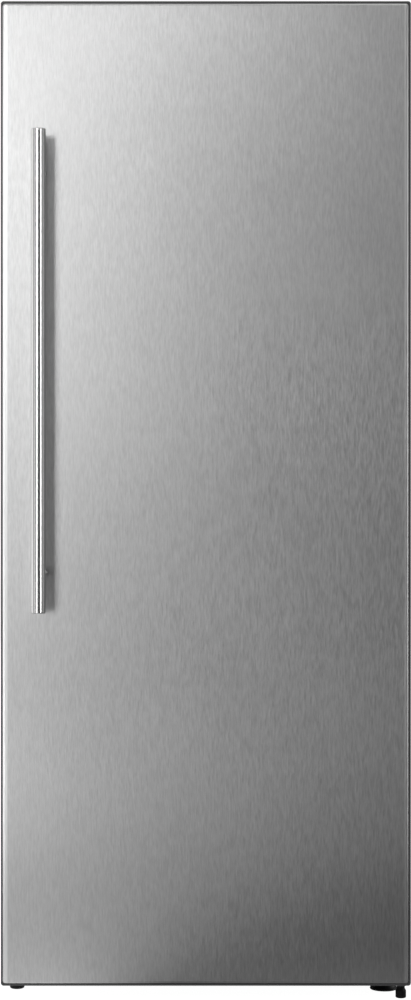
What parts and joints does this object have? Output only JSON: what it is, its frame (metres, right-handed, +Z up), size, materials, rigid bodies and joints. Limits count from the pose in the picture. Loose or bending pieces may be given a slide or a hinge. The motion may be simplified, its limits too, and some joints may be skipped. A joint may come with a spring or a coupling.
{
  "type": "upright freezer",
  "caption": "Tall upright freezer with one right-hinged brushed steel door, a full-length bar handle, glass shelves, drawers, door bins and a rear machine bay.",
  "frame": {"origin": "on the floor, under the middle of the object's bounding box", "axes": "+Z up, +X to the right of a person facing the door, +Y to the back"},
  "size_m": [0.711, 0.75, 1.735],
  "materials": {
    "door_steel": "satin",
    "handle_steel": "satin",
    "door_frame": "satin",
    "cabinet_paint": "satin",
    "zinc_sheet": "satin",
    "insulation": "matte",
    "white_liner": "satin",
    "gasket": "matte",
    "black_plastic": "satin",
    "black_rubber": "matte",
    "hinge_steel": "satin",
    "nylon": "satin",
    "clear_plastic": "gloss",
    "shelf_glass": "gloss",
    "white_trim": "satin",
    "lamp_lens": "satin",
    "button_grey": "satin",
    "bare_aluminium": "satin",
    "copper": "satin",
    "compressor_black": "gloss",
    "screw_zinc": "satin"
  },
  "bodies": {
    "cabinet": {"side_panel_left": "cabinet_paint", "side_panel_right": "cabinet_paint", "top_panel": "cabinet_paint", "rear_panel": "zinc_sheet", "cabinet_foam": "insulation", "inner_liner": "white_liner", "front_sill": "cabinet_paint", "base_pan": "zinc_sheet", "compressor_tray": "zinc_sheet", "wall_spacers": "black_plastic", "lower_hinge": "hinge_steel", "upper_hinge": "hinge_steel", "upper_hinge_cover": "door_frame", "shelf_trims": "white_trim", "evaporator_cover": "white_liner", "control_housing": "white_trim", "light_lens": "lamp_lens", "evaporator_coil": "bare_aluminium", "evaporator_fan_motor": "zinc_sheet", "drain_channel": "white_trim", "drain_pan": "black_plastic", "condenser_coil": "copper", "condenser_fan_motor": "zinc_sheet", "compressor": "compressor_black", "compressor_mounts": "black_rubber", "relay_cover": "black_plastic", "refrigerant_pipes": "copper", "rear_cover": "zinc_sheet", "cord_inlet": "black_plastic", "panel_screws": "screw_zinc", "shelf_glass_1": "shelf_glass", "shelf_glass_2": "shelf_glass", "shelf_glass_3": "shelf_glass", "shelf_glass_4": "shelf_glass"},
    "door": {"door_skin": "door_steel", "door_top_cap": "door_frame", "door_bottom_cap": "door_frame", "door_side_rails": "door_frame", "door_foam": "insulation", "door_liner": "white_liner", "door_gasket": "gasket", "hinge_bushes": "nylon", "handle_bar": "handle_steel", "handle_caps": "handle_steel", "handle_posts": "handle_steel"},
    "drawer_lower": {"drawer_lower": "clear_plastic"},
    "drawer_upper": {"drawer_upper": "clear_plastic"},
    "foot_left": {"foot_left": "black_plastic"},
    "foot_right": {"foot_right": "black_plastic"},
    "hinge_leg": {"hinge_leg": "black_plastic"},
    "roller_left": {"roller_left": "black_plastic"},
    "roller_right": {"roller_right": "black_plastic"},
    "evaporator_fan": {"evaporator_fan": "black_plastic"},
    "condenser_fan": {"condenser_fan": "black_plastic"},
    "button_1": {"button_1": "button_grey"},
    "button_2": {"button_2": "button_grey"},
    "door_bin_1": {"door_bin_1": "clear_plastic"},
    "door_bin_2": {"door_bin_2": "clear_plastic"},
    "door_bin_3": {"door_bin_3": "clear_plastic"},
    "door_bin_4": {"door_bin_4": "clear_plastic"}
  },
  "joints": [
    {"name": "door_hinge", "type": "hinge", "parent": "cabinet", "child": "door", "pos_m": [0.3409, -0.283, 0], "axis": [0, 0, 1], "range_deg": [0, 120]},
    {"name": "drawer_lower_slide", "type": "slide", "parent": "cabinet", "child": "drawer_lower", "axis": [0, -1, 0], "range_m": [0, 0.106]},
    {"name": "drawer_upper_slide", "type": "slide", "parent": "cabinet", "child": "drawer_upper", "axis": [0, -1, 0], "range_m": [0, 0.106]},
    {"name": "door_bin_1_lift", "type": "slide", "parent": "door", "child": "door_bin_1", "axis": [0, 0, 1], "range_m": [0, 0.036]},
    {"name": "door_bin_2_lift", "type": "slide", "parent": "door", "child": "door_bin_2", "axis": [0, 0, 1], "range_m": [0, 0.036]},
    {"name": "door_bin_3_lift", "type": "slide", "parent": "door", "child": "door_bin_3", "axis": [0, 0, 1], "range_m": [0, 0.036]},
    {"name": "door_bin_4_lift", "type": "slide", "parent": "door", "child": "door_bin_4", "axis": [0, 0, 1], "range_m": [0, 0.036]},
    {"name": "foot_left_turn", "type": "hinge", "parent": "cabinet", "child": "foot_left", "pos_m": [-0.3366, -0.209, 0], "axis": [0, 0, 1], "continuous": true},
    {"name": "foot_right_turn", "type": "hinge", "parent": "cabinet", "child": "foot_right", "pos_m": [0.3166, -0.215, 0], "axis": [0, 0, 1], "continuous": true},
    {"name": "hinge_leg_turn", "type": "hinge", "parent": "cabinet", "child": "hinge_leg", "pos_m": [0.3409, -0.283, 0], "axis": [0, 0, 1], "continuous": true},
    {"name": "roller_left_spin", "type": "hinge", "parent": "cabinet", "child": "roller_left", "pos_m": [-0.31, 0.306, 0.016], "axis": [1, 0, 0], "continuous": true},
    {"name": "roller_right_spin", "type": "hinge", "parent": "cabinet", "child": "roller_right", "pos_m": [0.31, 0.306, 0.016], "axis": [1, 0, 0], "continuous": true},
    {"name": "evaporator_fan_spin", "type": "hinge", "parent": "cabinet", "child": "evaporator_fan", "pos_m": [0, 0.234, 1.5], "axis": [0, 1, 0], "continuous": true},
    {"name": "condenser_fan_spin", "type": "hinge", "parent": "cabinet", "child": "condenser_fan", "pos_m": [-0.096, 0.262, 0.15], "axis": [1, 0, 0], "continuous": true},
    {"name": "button_1_press", "type": "slide", "parent": "cabinet", "child": "button_1", "axis": [0, 1, 0], "range_m": [0, 0.0012], "stiffness_N_per_m": 400, "springref_m": -0.001},
    {"name": "button_2_press", "type": "slide", "parent": "cabinet", "child": "button_2", "axis": [0, 1, 0], "range_m": [0, 0.0012], "stiffness_N_per_m": 400, "springref_m": -0.001}
  ]
}
